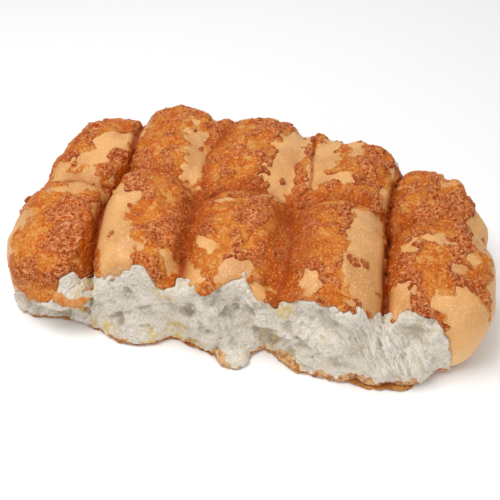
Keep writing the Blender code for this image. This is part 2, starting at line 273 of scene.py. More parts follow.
class CrumbSettings(PropertyGroup):
    """Sizes and colours of the torn crumb."""

    rise: size_property("Rise", "How far the torn crumb swells past the tear", 1.6 * MM)
    sink: size_property("Sink", "Depth of the crumb's rim in the crust", 1.8 * MM)
    room: size_property("Room", "How far the body under the crumb draws back", 4.5 * MM)
    white: colour_property("White", "Crumb", "#EAE2D6")
    pored: colour_property("Pored", "Crumb where its fine pores are open", "#D9CFC0")
    cream: colour_property("Cream", "Denser and drier crumb", "#E4D3B2")
    # Painted shade in the large pores and in the grooves between the fibres, and the darker tone of the fine
    # fibres
    shade: colour_property("Shade", "Crumb in the large pores", "#BAAE9A")
    fat: colour_property("Fat", "Crumb that soaked up fat at the joints", "#DAB65E")
    tan: colour_property("Tan", "Baked wall of the base", "#D9AB70")
    brown: colour_property("Brown", "Baked wall near the tray", "#A95F26")


class BaseSettings(PropertyGroup):
    """Sizes and colours of the ragged base crust."""

    thickness: size_property("Thickness", "How thick the base crust is", 1.0 * MM)
    golden: colour_property("Golden", "Lighter places of the base crust", "#CF9654")
    brown: colour_property("Brown", "Base crust", "#B06A2C")
    burnt: colour_property("Burnt", "Dark rim and spots of the base crust", "#843F14")


class StageSettings(PropertyGroup):
    """The camera, the lights and the floor."""

    azimuth: angle_property("Azimuth", "Camera's angle round the batch", 11.5)
    elevation: angle_property("Elevation", "Camera's angle above the floor", 44.0)
    distance: size_property("Distance", "From the camera to the point it looks at", 0.531)
    lens: FloatProperty(name="Lens", description="Focal length", default=58.3, unit="CAMERA")
    lean: angle_property("Lean", "Turn of the camera about its own view", 0.8)
    floor: colour_property("Floor", "Plain floor", "#FFFFFF")


def deselect_all():
    if bpy.context.object and bpy.context.object.mode != "OBJECT":
        bpy.ops.object.mode_set(mode="OBJECT")
    bpy.ops.object.select_all(action="DESELECT")


def activate(piece):
    deselect_all()
    piece.select_set(True)
    bpy.context.view_layer.objects.active = piece


def apply_modifier(piece, kind, **settings):
    """Adds a modifier with these settings and applies it."""
    activate(piece)
    modifier = piece.modifiers.new(kind.lower(), kind)
    for key, value in settings.items():
        setattr(modifier, key, value)
    bpy.ops.object.modifier_apply(modifier=modifier.name)


def smooth_step(low, high, value):
    share = np.clip((value - low) / (high - low), 0, 1)
    return share * share * (3 - 2 * share)


def read_points(mesh):
    places = np.empty(len(mesh.vertices) * 3)
    mesh.vertices.foreach_get("co", places)
    return places.reshape(-1, 3)


def read_normals(mesh):
    normals = np.empty(len(mesh.vertices) * 3)
    mesh.vertices.foreach_get("normal", normals)
    return normals.reshape(-1, 3)


def write_points(mesh, places):
    mesh.vertices.foreach_set("co", places.ravel())
    mesh.update()


def write_field(mesh, name, values):
    """Keeps one number for each point, for later steps and for the material."""
    if name not in mesh.attributes:
        mesh.attributes.new(name, "FLOAT", "POINT")
    mesh.attributes[name].data.foreach_set("value", np.asarray(values, dtype=np.float32))


def read_field(mesh, name):
    values = np.empty(len(mesh.vertices), dtype=np.float32)
    mesh.attributes[name].data.foreach_get("value", values)
    return values.astype(float)


def noise_at(places, size, seed=0.0):
    """Smooth noise between about -0.7 and 0.7 at every place, with lumps of this size."""
    return np.array([noise.noise(place) for place in (places / size + seed).tolist()])


def ridges_at(places, size, seed=0.0):
    """Sharp ridges with this spacing: 1 along a ridge, and below 0 away from it."""
    return 1 - 4 * np.abs(noise_at(places, size, seed))


def rough_at(places, size, steps, seed=0.0):
    """Noise with finer and finer lumps on its lumps, even about 0."""
    return np.array([noise.fractal(place, 0.8, 2.0, steps) for place in (places / size + seed).tolist()])


def crinkles_at(places, size, steps, seed=0.0):
    """Uneven crinkles, large and small, even about 0 and with a spread of 1."""
    rows = (places / size + seed).tolist()
    values = np.array([noise.ridged_multi_fractal(place, 0.9, 2.0, steps, 1.0, 2.0) for place in rows])
    return (values - values.mean()) / values.std()


def bend(places, size, reach, seed=0.0):
    """The places moved about by noise, so that a pattern read there is less even."""
    return places + reach * np.column_stack([noise_at(places, size, seed + step) for step in (1, 2, 3)])


def spread(mesh, field, times):
    """Evens a field out along the mesh's edges."""
    ends = np.empty(len(mesh.edges) * 2, dtype=np.int32)
    mesh.edges.foreach_get("vertices", ends)
    first, second = ends.reshape(-1, 2).T
    count = len(mesh.vertices)
    shared = np.maximum(np.bincount(first, minlength=count) + np.bincount(second, minlength=count), 1)
    for _ in range(times):
        near = np.bincount(first, weights=field[second], minlength=count)
        near += np.bincount(second, weights=field[first], minlength=count)
        field = (field + near / shared) / 2
    return field


def line_at(line, x):
    """How far back a plan line runs at each x."""
    return np.interp(x / MM, [point[0] for point in line], [point[1] for point in line]) * MM


def tear_at(places, crust, base):
    """Where the torn face lies in depth, at each place's x and height, without its crags."""
    share = smooth_step(TEAR_LOW, TEAR_HIGH, places[:, 2])
    return line_at(base, places[:, 0]) * (1 - share) + line_at(crust, places[:, 0]) * share


def patch_edge(places, patches):
    """How far outside the nearest of these patches a place lies, in metres, and below 0 inside one."""
    away = np.full(len(places), 1.0)
    for x, y, half_x, half_y, turn in patches:
        angle = math.radians(-turn)
        away_x = places[:, 0] / MM - x
        away_y = places[:, 1] / MM - y
        along = away_x * math.cos(angle) - away_y * math.sin(angle)
        across = away_x * math.sin(angle) + away_y * math.cos(angle)
        size = min(half_x, half_y) * MM
        away = np.minimum(away, (np.hypot(along / half_x, across / half_y) - 1) * size)
    return away


def cheese_cover(places):
    """How far inside the cheese a place lies, in metres, and below 0 on bare crust."""
    cover = np.maximum(patch_edge(places, BARE), -patch_edge(places, SPOTS))
    cover = np.minimum(cover, 7 * MM)
    cover += 6 * MM * noise_at(places, 12 * MM) + 4.5 * MM * noise_at(places, 5 * MM, 5.0)
    cover += 1.2 * MM * noise_at(places, 2.4 * MM, 9.0)
    # The cheese ends above the foot of the flanks, and runs down lower at the left end
    low = np.where(places[:, 0] < -98 * MM, 16 * MM, 24 * MM)
    return cover - 16 * MM * (1 - smooth_step(low, low + 14 * MM, places[:, 2]))


def add_node(tree, kind, values=None, links=None, **settings):
    """Adds one node, with its settings, its inputs' values and what feeds its other inputs."""
    node = tree.nodes.new(kind)
    for key, value in settings.items():
        setattr(node, key, value)
    for key, value in (values or {}).items():
        node.inputs[key].default_value = value
    for key, source in (links or {}).items():
        tree.links.new(source, node.inputs[key])
    return node


def new_material(name):
    made = bpy.data.materials.new(name)
    made.use_nodes = True
    return made, made.node_tree, made.node_tree.nodes["Principled BSDF"]


def lumps(tree, size, detail=2.0, rough=0.5):
    """Noise over the object's own coordinates, with lumps of a real size."""
    place = add_node(tree, "ShaderNodeTexCoord").outputs["Object"]
    values = {"Scale": 1 / size, "Detail": detail, "Roughness": rough}
    return add_node(tree, "ShaderNodeTexNoise", values, {"Vector": place}).outputs["Fac"]


def fibres(tree, width, turn):
    """Noise drawn out into wandering fibres of this width, which fall to the right by this turn in degrees."""
    place = add_node(tree, "ShaderNodeTexCoord").outputs["Object"]
    values = {"Rotation": (0, math.radians(turn), 0), "Scale": (7, 3, 1)}
    turned = add_node(tree, "ShaderNodeMapping", values, {"Vector": place}, vector_type="TEXTURE").outputs[0]
    values = {"Scale": 1 / width, "Detail": 3, "Roughness": 0.6, "Distortion": 1.2}
    return add_node(tree, "ShaderNodeTexNoise", values, {"Vector": turned}).outputs["Fac"]


def wrinkles(tree, size):
    """Thin lines of 0 that run between lumps of this size like wrinkles in a skin, and more between them."""
    middle = add_node(tree, "ShaderNodeMath", {1: 0.5}, {0: lumps(tree, size, 4, 0.6)}, operation="SUBTRACT")
    return add_node(tree, "ShaderNodeMath", links={0: middle.outputs[0]}, operation="ABSOLUTE").outputs[0]


def painted(tree, base, colour, share, low=None, high=1.0, top=1.0):
    """Paints a colour over a base where a share is high. Both may be colours or a node's output.

    The share is a node's output or the name of a field of the mesh. Where low is given, the share first
    goes smoothly from 0 at low to its top at high.
    """
    if isinstance(share, str):
        share = add_node(tree, "ShaderNodeAttribute", attribute_name=share).outputs["Fac"]
    if low is not None:
        ends = {"From Min": low, "From Max": high, "To Max": top}
        ramp = add_node(tree, "ShaderNodeMapRange", ends, {"Value": share}, interpolation_type="SMOOTHSTEP")
        share = ramp.outputs[0]
    mix = add_node(tree, "ShaderNodeMix", links={"Factor": share}, data_type="RGBA")
    for socket, value in ((mix.inputs[6], base), (mix.inputs[7], colour)):
        if isinstance(value, bpy.types.NodeSocket):
            tree.links.new(value, socket)
        else:
            socket.default_value = (*value, 1)
    return mix.outputs[2]


def surfaced(tree, shader, base, height, depth, strength):
    """Gives a surface its painted colour and its fine relief, of this depth in metres."""
    bump = add_node(tree, "ShaderNodeBump", {"Distance": depth, "Strength": strength}, {"Height": height})
    tree.links.new(base, shader.inputs["Base Color"])
    tree.links.new(bump.outputs["Normal"], shader.inputs["Normal"])


def crust_material(colours):
    """Baked bread crust: a thin dry skin, satin where it browned, with fine pale specks."""
    made, tree, shader = new_material("baked_bread_crust")
    base = painted(tree, colours.golden, colours.toasted, lumps(tree, 22 * MM, 3), 0.35, 0.65)
    base = painted(tree, colours.golden, base, "crown")
    base = painted(tree, base, colours.pale, "low")
    base = painted(tree, base, colours.speck, lumps(tree, 1.0 * MM), 0.54, 0.66, 0.5)
    # Fat stain with painted shade beside the creases
    base = painted(tree, base, colours.fat_stain_and_shade, "fat_stain_and_shade", 0.1, 0.7, 0.6)
    # Painted shade down in the creases and hollows
    base = painted(tree, base, colours.crease, "cavity_shade", 0.15, 0.6)
    base = painted(tree, base, colours.underside, "underside")
    # The body under the torn crumb is painted as crumb in shade, seen only down in the pores
    for torn in ("torn_front", "torn_back"):
        base = painted(tree, base, colours.inside, torn, 0.45, 0.6)
    surfaced(tree, shader, base, lumps(tree, 1.1 * MM, 3), 0.25 * MM, 0.5)
    shader.inputs["Roughness"].default_value = 0.5
    shader.inputs["IOR"].default_value = 1.45
    shader.inputs["Subsurface Weight"].default_value = 0.08
    shader.inputs["Subsurface Radius"].default_value = (0.004, 0.002, 0.001)
    return made


def base_material(colours):
    """Base crust that fried on the tray: thin, dry and brown, darker and redder in its burnt spots."""
    made, tree, shader = new_material("tray_baked_base_crust")
    base = painted(tree, colours.brown, colours.golden, lumps(tree, 7 * MM, 3), 0.4, 0.62)
    base = painted(tree, base, colours.burnt, lumps(tree, 2 * MM, 3), 0.5, 0.68)
    surfaced(tree, shader, base, lumps(tree, 1.5 * MM, 3), 0.4 * MM, 0.6)
    shader.inputs["Roughness"].default_value = 0.6
    shader.inputs["IOR"].default_value = 1.45
    shader.inputs["Specular IOR Level"].default_value = 0.3
    return made


def strip_material(colours):
    """A strip of torn crust with cheese baked on it: tan, with orange streaks where the fat ran."""
    made, tree, shader = new_material("torn_crust_strip")
    base = painted(tree, colours.toasted, colours.strip, lumps(tree, 3 * MM, 3), 0.45, 0.62)
    surfaced(tree, shader, base, lumps(tree, 1.2 * MM, 3), 0.3 * MM, 0.6)
    shader.inputs["Roughness"].default_value = 0.5
    shader.inputs["IOR"].default_value = 1.45
    shader.inputs["Specular IOR Level"].default_value = 0.3
    return made


def cheese_material(colours):
    """Hard cheese melted and browned in the oven: a greasy wrinkled skin with dark caught blisters."""
    made, tree, shader = new_material("browned_melted_cheese")
    patch = lumps(tree, 10 * MM, 5, 0.65)
    grain = lumps(tree, 1.5 * MM, 3, 0.65)
    fold = wrinkles(tree, 3.2 * MM)
    film = painted(tree, colours.orange, colours.yellow, patch, 0.42, 0.56)
    film = painted(tree, film, colours.thin, lumps(tree, 6 * MM, 3), 0.54, 0.66, 0.85)
    # Fatty film with painted shade beside the creases
    film = painted(tree, film, colours.fatty, "fat_stain_and_shade", 0.0, 0.4, 0.85)
    film = painted(tree, film, colours.thin, "rim", 0.2, 0.9, 0.7)
    # Painted shade in the film's fine hollows
    film = painted(tree, film, colours.deep, grain, 0.5, 0.3, 0.6)
    crust = painted(tree, colours.brown, colours.orange, patch, 0.4, 0.6)
    # Painted shade down between the blisters and the wrinkles
    crust = painted(tree, crust, colours.deep, "blister", 0.45, 0.0, 0.8)
    crust = painted(tree, crust, colours.deep, fold, 0.06, 0.16, 0.7)
    # Painted highlights along the wrinkles' ridges and on the blisters' tips
    crust = painted(tree, crust, colours.bright, fold, 0.035, 0.0, 0.6)
    crust = painted(tree, crust, colours.bright, "blister", 0.55, 1.1, 0.85)
    crust = painted(tree, crust, colours.deep, "rim", 0.2, 0.9, 0.6)
    base = painted(tree, film, crust, "crinkled")
    # Painted glints on the tops of the fine grain
    base = painted(tree, base, colours.bright, grain, 0.56, 0.64, 0.7)
    # Painted shade down in the creases and hollows
    base = painted(tree, base, colours.dark, "cavity_shade", 0.15, 0.75)
    height = add_node(tree, "ShaderNodeMath", {1: -2.0}, {0: fold, 2: grain}, operation="MULTIPLY_ADD")
    surfaced(tree, shader, base, height.outputs[0], 1.0 * MM, 0.7)
    shader.inputs["Roughness"].default_value = 0.45
    shader.inputs["IOR"].default_value = 1.46
    shader.inputs["Specular IOR Level"].default_value = 0.22
    return made


def crumb_material(colours):
    """Soft white crumb, torn and not cut: matt, open and fibrous, with painted shade down in its pores."""
    made, tree, shader = new_material("torn_white_crumb")
    grain = lumps(tree, 1.4 * MM, 5, 0.75)
    loose = fibres(tree, 1.1 * MM, LOOSE_TURN)
    pulled = fibres(tree, 1.2 * MM, PULL_TURN)
    base = painted(tree, colours.white, colours.pored, grain, 0.62, 0.36)
    base = painted(tree, base, colours.shade, loose, 0.5, 0.34, 0.5)
    base = painted(tree, base, painted(tree, colours.white, colours.shade, pulled, 0.58, 0.36), "pulled")
    base = painted(tree, base, colours.cream, lumps(tree, 9 * MM, 4, 0.6), 0.5, 0.68, 0.4)
    # Painted shade down in the pits and hollows of the torn face
    base = painted(tree, base, colours.shade, "pit_shade")
    fatty = painted(tree, base, colours.fat, lumps(tree, 5 * MM, 4, 0.6), 0.4, 0.62, 0.9)
    base = painted(tree, base, fatty, "fat")
    # Painted shade in the grooves between the fibres
    base = painted(tree, base, colours.shade, "strand", 0.55, 1.0, 0.4)
    browned = painted(tree, colours.tan, colours.brown, lumps(tree, 4 * MM, 4, 0.65), 0.44, 0.6)
    base = painted(tree, base, browned, "baked", 0.1, 0.9, 0.9)
    height = grain
    for fibre in (loose, pulled):
        height = add_node(tree, "ShaderNodeMath", links={0: height, 1: fibre}, operation="ADD").outputs[0]
    surfaced(tree, shader, base, height, 0.8 * MM, 0.45)
    shader.inputs["Roughness"].default_value = 0.9
    shader.inputs["Specular IOR Level"].default_value = 0.2
    shader.inputs["Subsurface Weight"].default_value = 0.25
    shader.inputs["Subsurface Radius"].default_value = (0.003, 0.0022, 0.0015)
    return made


def away_from(places, line):
    """How far each place lies from a line through these points, seen in plan, in metres."""
    plan = places[:, :2] / MM
    away = np.full(len(plan), np.inf)
    for first, last in zip(line, line[1:]):
        first, along = np.array(first), np.subtract(last, first)
        share = np.clip((plan - first) @ along / (along @ along), 0, 1)
        away = np.minimum(away, np.hypot(*(plan - first - share[:, None] * along).T))
    return away * MM


def crease_share(places, column):
    """How near each place is to the nearest crease, from 0 to its darkness, for that column's half width."""
    share = np.zeros(len(places))
    for crease in CREASES:
        near = 1 - away_from(places, crease[0]) / (crease[column] * MM)
        share = np.maximum(share, crease[DARKNESS] * np.clip(near, 0, 1))
    return share


def fold_creases(mesh):
    """Folds the surface in along the creases, where one roll's flank meets the next."""
    places = read_points(mesh)
    facing = smooth_step(0.1, 0.5, read_normals(mesh)[:, 2])
    drop = np.zeros(len(places))
    for line, most, half, _, _ in CREASES:
        near = 1 - away_from(places, line) / (half * MM)
        drop = np.maximum(drop, most * MM * np.clip(near, 0, 1) ** 1.2)
    places[:, 2] -= drop * facing * smooth_step(12 * MM, 30 * MM, places[:, 2])
    write_points(mesh, places)


def hollow_at(mesh, places, normals, times):
    """How deep each point lies below the evened surface: above 0 in a valley, below 0 on a crown."""
    even = np.column_stack([spread(mesh, places[:, axis], times) for axis in range(3)])
    return spread(mesh, ((even - places) * normals).sum(axis=1), 4)


def mark_body(mesh):
    """Works out where the crust is torn, low, crowned or soaked with fat, and where shade is painted in its
    hollows and creases.
    """
    places = read_points(mesh)
    normals = read_normals(mesh)
    x, y, z = places.T
    ragged = 4 * MM * noise_at(places, 5 * MM, 4.0) + 2.4 * MM * noise_at(places, 2.4 * MM, 8.0)
    below = z < line_at(FRONT_EDGE, x) + ragged
    near_foot = 1 - smooth_step(25 * MM, 38 * MM, z)
    reach = FRONT_REACH * (1 + 1.2 * near_foot)
    torn_front = below & (y < line_at(FRONT_CRUST, x) + reach) & (z > TORN_FOOT)
    back = tear_at(places, BACK_CRUST, BACK_BASE)
    even = spread(mesh, normals[:, 2], 12)
    reach = BACK_REACH * (1 + 2 * near_foot)
    torn_back = (y > back - reach + ragged) & (z > TORN_FOOT) & ((even < 0.42) | (z < BACK_TOP))
    torn_back &= ((x < BACK_STEP) | (z < BACK_TOP + ragged)) & (x > BACK_ENDS[0]) & (x < BACK_ENDS[1])
    torn_back = spread(mesh, torn_back.astype(float), 6) > 0.45
    write_field(mesh, "torn_front", spread(mesh, torn_front.astype(float), 3))
    write_field(mesh, "torn_back", spread(mesh, torn_back.astype(float), 3))
    # Where shade is painted on the crust and the cheese: down in the hollows and along the creases
    cavity_shade = smooth_step(0.5 * MM, 3.0 * MM, hollow_at(mesh, places, normals, 70))
    write_field(mesh, "cavity_shade", np.maximum(0.7 * cavity_shade, crease_share(places, FOLD_WIDTH)))
    # Fat stain together with painted shade beside the creases
    write_field(mesh, "fat_stain_and_shade", crease_share(places, STAIN_AND_SHADE_WIDTH))
    write_field(mesh, "low", 1 - smooth_step(8 * MM, 30 * MM, z))
    write_field(mesh, "crown", smooth_step(30 * MM, 60 * MM, z))
    write_field(mesh, "underside", 1 - smooth_step(0.6 * MM, 3.0 * MM, z))
    fat = np.zeros(len(places))
    for middle, height, size in FAT:
        away = np.hypot(x / MM - middle, z / MM - height) / size
        fat = np.maximum(fat, (1 - smooth_step(0.3, 1.2, away)) * (y < 0))
    write_field(mesh, "fat", fat)
    write_field(mesh, "cover", cheese_cover(places))


def peel(body, chosen, name):
    """A new object from the body's faces whose points are all chosen, cleared of corners that only touch."""
    piece = body.copy()
    piece.data = body.data.copy()
    piece.name = name
    piece.data.name = name
    bpy.context.collection.objects.link(piece)
    activate(piece)
    bpy.ops.object.mode_set(mode="EDIT")
    bpy.ops.mesh.select_mode(type="VERT")
    bpy.ops.mesh.select_all(action="DESELECT")
    bpy.ops.object.mode_set(mode="OBJECT")
    piece.data.vertices.foreach_set("select", ~chosen)
    bpy.ops.object.mode_set(mode="EDIT")
    for _ in range(PEEL_ROUNDS):
        bpy.ops.mesh.delete(type="VERT")
        bpy.ops.mesh.select_all(action="SELECT")
        bpy.ops.mesh.delete_loose()
        bpy.ops.mesh.select_non_manifold(
            extend=False, use_wire=False, use_boundary=False, use_multi_face=False, use_non_contiguous=False,
            use_verts=True,
        )
    bpy.ops.object.mode_set(mode="OBJECT")
    return piece


def finish_piece(piece, material):
    """Thins a piece that has too many triangles, and gives it its material and its body."""
    piece.data.calc_loop_triangles()
    count = len(piece.data.loop_triangles)
    if count > MOST_TRIANGLES:
        apply_modifier(piece, "DECIMATE", ratio=MOST_TRIANGLES / count)
    piece.data.materials.clear()
    piece.data.materials.append(material)
    piece.data.shade_smooth()
    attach(piece, "root")
    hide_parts(NODE)


class BATCH_OT_crust_body(Operator):
    """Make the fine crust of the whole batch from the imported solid"""

    bl_idname = "batch.crust_body"
    bl_label = "Crust Body"

    def execute(self, context):
        colours = context.scene.batch_crust
        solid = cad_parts[NODE]
        deselect_all()
        body = solid.copy()
        body.data = solid.data.copy()
        body.name = "crust_body"
        context.collection.objects.link(body)
        activate(body)
        bpy.ops.object.mode_set(mode="EDIT")
        bpy.ops.mesh.select_all(action="SELECT")
        bpy.ops.mesh.remove_doubles(threshold=0.00002)
        bpy.ops.object.mode_set(mode="OBJECT")
        apply_modifier(body, "REMESH", mode="VOXEL", voxel_size=colours.voxel)
        apply_modifier(body, "SMOOTH", factor=0.5, iterations=5)
        fold_creases(body.data)
        mark_body(body.data)
        finish_piece(body, crust_material(colours))
        return {"FINISHED"}


class BATCH_OT_melted_cheese(Operator):
    """Lay the melted cheese on the crust, in three pieces that meet in the deepest creases"""

    bl_idname = "batch.melted_cheese"
    bl_label = "Melted Cheese"

    def execute(self, context):
        settings = context.scene.batch_cheese
        material = cheese_material(settings)
        body = bpy.data.objects["crust_body"]
        places = read_points(body.data)
        cover = read_field(body.data, "cover")
        torn = np.maximum(read_field(body.data, "torn_front"), read_field(body.data, "torn_back"))
        lies = (cover > -4 * MM) & (torn < 0.75)
        left = places[:, 0] < LEFT_SEAM + SEAM_LAP
        right = places[:, 0] > RIGHT_SEAM - SEAM_LAP
        middle = (places[:, 0] > LEFT_SEAM) & (places[:, 0] < RIGHT_SEAM)
        for name, part in (("left", left), ("middle", middle), ("right", right)):
            piece = peel(body, lies & part, f"melted_cheese_{name}")
            apply_modifier(piece, "SUBSURF", levels=1, render_levels=1)
            self.raise_sheet(piece.data, settings)
            apply_modifier(piece, "SOLIDIFY", thickness=CHEESE_THICKNESS, offset=-1)
            finish_piece(piece, material)
        return {"FINISHED"}

    def raise_sheet(self, mesh, settings):
        """Raises the cheese in lumps and wrinkled blisters, and sinks its rim in the crust."""
        places = read_points(mesh)
        normals = read_normals(mesh)
        torn = np.maximum(read_field(mesh, "torn_front"), read_field(mesh, "torn_back"))
        cover = cheese_cover(places)
        on = smooth_step(-0.5 * MM, 0.8 * MM, cover)
        on *= 1 - smooth_step(*TORN_EDGE, torn)
        bent = bend(places, 4 * MM, 1.2 * MM)
        patch = noise_at(places, 16 * MM, 2.0) + 0.6 * noise_at(places, 6 * MM, 6.0)
        crinkled = smooth_step(-0.08, 0.14, patch) * (1 - 0.8 * read_field(mesh, "fat_stain_and_shade"))
        crinkled *= smooth_step(34 * MM, 42 * MM, places[:, 2])
        crust = np.clip(0.45 + 0.42 * crinkles_at(bent, 2.6 * MM, 3, 7.0), -0.4, 1.6)
        blister = (0.12 + 0.88 * crinkled) * crust
        lump = 1.3 * MM * noise_at(bent, 8 * MM, 3.0) + 0.7 * MM * noise_at(bent, 4 * MM, 9.0)
        height = settings.rise * (0.4 + 0.5 * crinkled) + settings.blister * blister + lump
        rise = on * np.maximum(height, 0.15 * MM) - (1 - on) * settings.sink
        write_field(mesh, "rim", 1 - smooth_step(0.5 * MM, 2.4 * MM, cover))
        write_field(mesh, "blister", blister)
        write_field(mesh, "crinkled", crinkled)
        write_points(mesh, places + normals * rise[:, None])


class BATCH_OT_torn_crumb(Operator):
    """Swell the torn crumb out of the front and the back"""

    bl_idname = "batch.torn_crumb"
    bl_label = "Torn Crumb"

    def execute(self, context):
        settings = context.scene.batch_crumb
        material = crumb_material(settings)
        body = bpy.data.objects["crust_body"]
        for name, wall, cap in (("front", FRONT_WALL, FRONT_CAP), ("back", BACK_WALL, BACK_CAP)):
            torn = read_field(body.data, f"torn_{name}")
            piece = peel(body, torn > TORN_RIM, f"torn_crumb_{name}")
            apply_modifier(piece, "SUBSURF", levels=2, render_levels=2)
            self.swell(piece.data, f"torn_{name}", wall, settings)
            self.close(piece, cap)
            finish_piece(piece, material)
        self.draw_back(body.data, settings.room)
        return {"FINISHED"}

    def swell(self, mesh, field, wall, settings):
        """Gives the torn face soft tufts, fibres between them, and pores that tore open."""
        places = read_points(mesh)
        normals = read_normals(mesh)
        on = smooth_step(*TORN_EDGE, read_field(mesh, field))
        bent = bend(places, 6 * MM, 2.0 * MM)
        tuft = 1.5 * rough_at(bent, 12 * MM, 2, 4.0) + 0.8 * rough_at(bent, 2.2 * MM, 3, 5.0)
        pore = 1.1 * smooth_step(0.2, 0.55, noise_at(bent, 6.0 * MM, 8.0))
        pore += 0.5 * smooth_step(0.24, 0.5, noise_at(bent, 2.8 * MM, 9.0))
        pore += 1.6 * smooth_step(0.2, 0.55, noise_at(bent, 13 * MM, 6.0))
        pulled = self.pulled_share(places)
        strand = self.strands(places)
        height = tuft * (1 - 0.5 * pulled) - pore * (1 - 0.8 * pulled) + strand * (0.25 + 0.75 * pulled)
        height += 0.8 * pulled - self.hollow_depth(bend(places, 5 * MM, 4 * MM, 3.0))
        baked = self.baked_share(places, wall)
        height = height * (1 - 0.6 * baked) + 0.5 * baked
        even = 1 - 0.3 * read_field(mesh, "cavity_shade")
        rise = on * (settings.rise + height * MM) * even - (1 - on) * settings.sink
        # Painted shade: the lower the crumb's relief, the darker
        write_field(mesh, "pit_shade", 0.9 - 0.9 * smooth_step(-3.6, 0.0, height))
        # Where shade is painted, in the grooves between the fibres
        write_field(mesh, "strand", 0.5 - strand * (0.3 + 0.4 * pulled))
        write_field(mesh, "pulled", pulled)
        write_field(mesh, "baked", baked)
        write_points(mesh, places + normals * rise[:, None])

    def strands(self, places):
        """Fine fibres of crumb, all pulled one way: above 0 along a fibre, and below 0 between two."""
        turned = places @ np.array(Matrix.Rotation(math.radians(PULL_TURN), 3, "Y"))
        loose = bend(turned, 9 * MM, 2.0 * MM) * (0.15, 0.3, 1)
        return 0.5 * ridges_at(loose, 2.6 * MM, 7.0) + 0.4 * ridges_at(loose, 1.3 * MM, 2.0)

    def baked_share(self, places, wall):
        """Where the crumb's foot is the baked wall of the base, ragged at its top."""
        x, _, z = places.T
        height = 1.2 * MM + np.zeros(len(places))
        for middle, half, top in wall:
            height = np.maximum(height, top * MM * (1 - smooth_step(0.5, 1.2, np.abs(x / MM - middle) / half)))
        height += 3 * MM * noise_at(places, 5 * MM, 6.0) + 2 * MM * noise_at(places, 2 * MM, 3.0)
        foot = 1 - smooth_step(-0.6 * MM, 0.6 * MM, z - height)
        away = np.hypot(x / MM - HOLE[0], z / MM - HOLE[1]) / HOLE[2] + 1.2 * noise_at(places, 4 * MM, 5.0)
        return np.maximum(foot, (1 - smooth_step(0.6, 1.0, away)) * (places[:, 1] < 0))

    def hollow_depth(self, places):
        """How deep the named hollows of the front are at each place, in millimetres."""
        depth = np.zeros(len(places))
        for x, z, size, most in HOLLOWS:
            away = np.hypot(places[:, 0] / MM - x, places[:, 2] / MM - z) / size
            depth = np.maximum(depth, most * (1 - smooth_step(0.3, 1.2, away)) * (places[:, 1] < 0))
        return depth

    def pulled_share(self, places):
        """Where the crumb was pulled out in long strands, at the right of the front."""
        x, z, length, breadth = PULLED
        turn = math.radians(BAND_TURN)
        away_x = places[:, 0] / MM - x
        away_z = places[:, 2] / MM - z
        along = (away_x * math.cos(turn) - away_z * math.sin(turn)) / length
        across = (away_x * math.sin(turn) + away_z * math.cos(turn)) / breadth
        return np.exp(-along ** 4 - across ** 2) * (places[:, 1] < 0)

    def draw_back(self, mesh, room):
        """Draws the body in under the crumb, so that it doesn't show in the pores."""
        torn = np.maximum(read_field(mesh, "torn_front"), read_field(mesh, "torn_back"))
        sink = room * smooth_step(0.5, 1.0, torn)
        write_points(mesh, read_points(mesh) - read_normals(mesh) * sink[:, None])

    def close(self, piece, cap):
        """Closes the sheet's back with a wall and a flat cap inside the bread."""
        activate(piece)
        bpy.ops.object.mode_set(mode="EDIT")
        bpy.ops.mesh.select_all(action="DESELECT")
        bpy.ops.mesh.select_mode(type="EDGE")
        bpy.ops.mesh.select_non_manifold(
            extend=False, use_wire=False, use_boundary=True, use_multi_face=False, use_non_contiguous=False,
            use_verts=False,
        )
        bpy.ops.mesh.extrude_edges_move()
        bpy.ops.transform.resize(value=(0.9, 0, 0.5), center_override=(0, cap, CAP_HEIGHT))
        bpy.ops.mesh.fill_holes(sides=0)
        bpy.ops.mesh.select_all(action="SELECT")
        bpy.ops.mesh.normals_make_consistent(inside=False)
        bpy.ops.object.mode_set(mode="OBJECT")


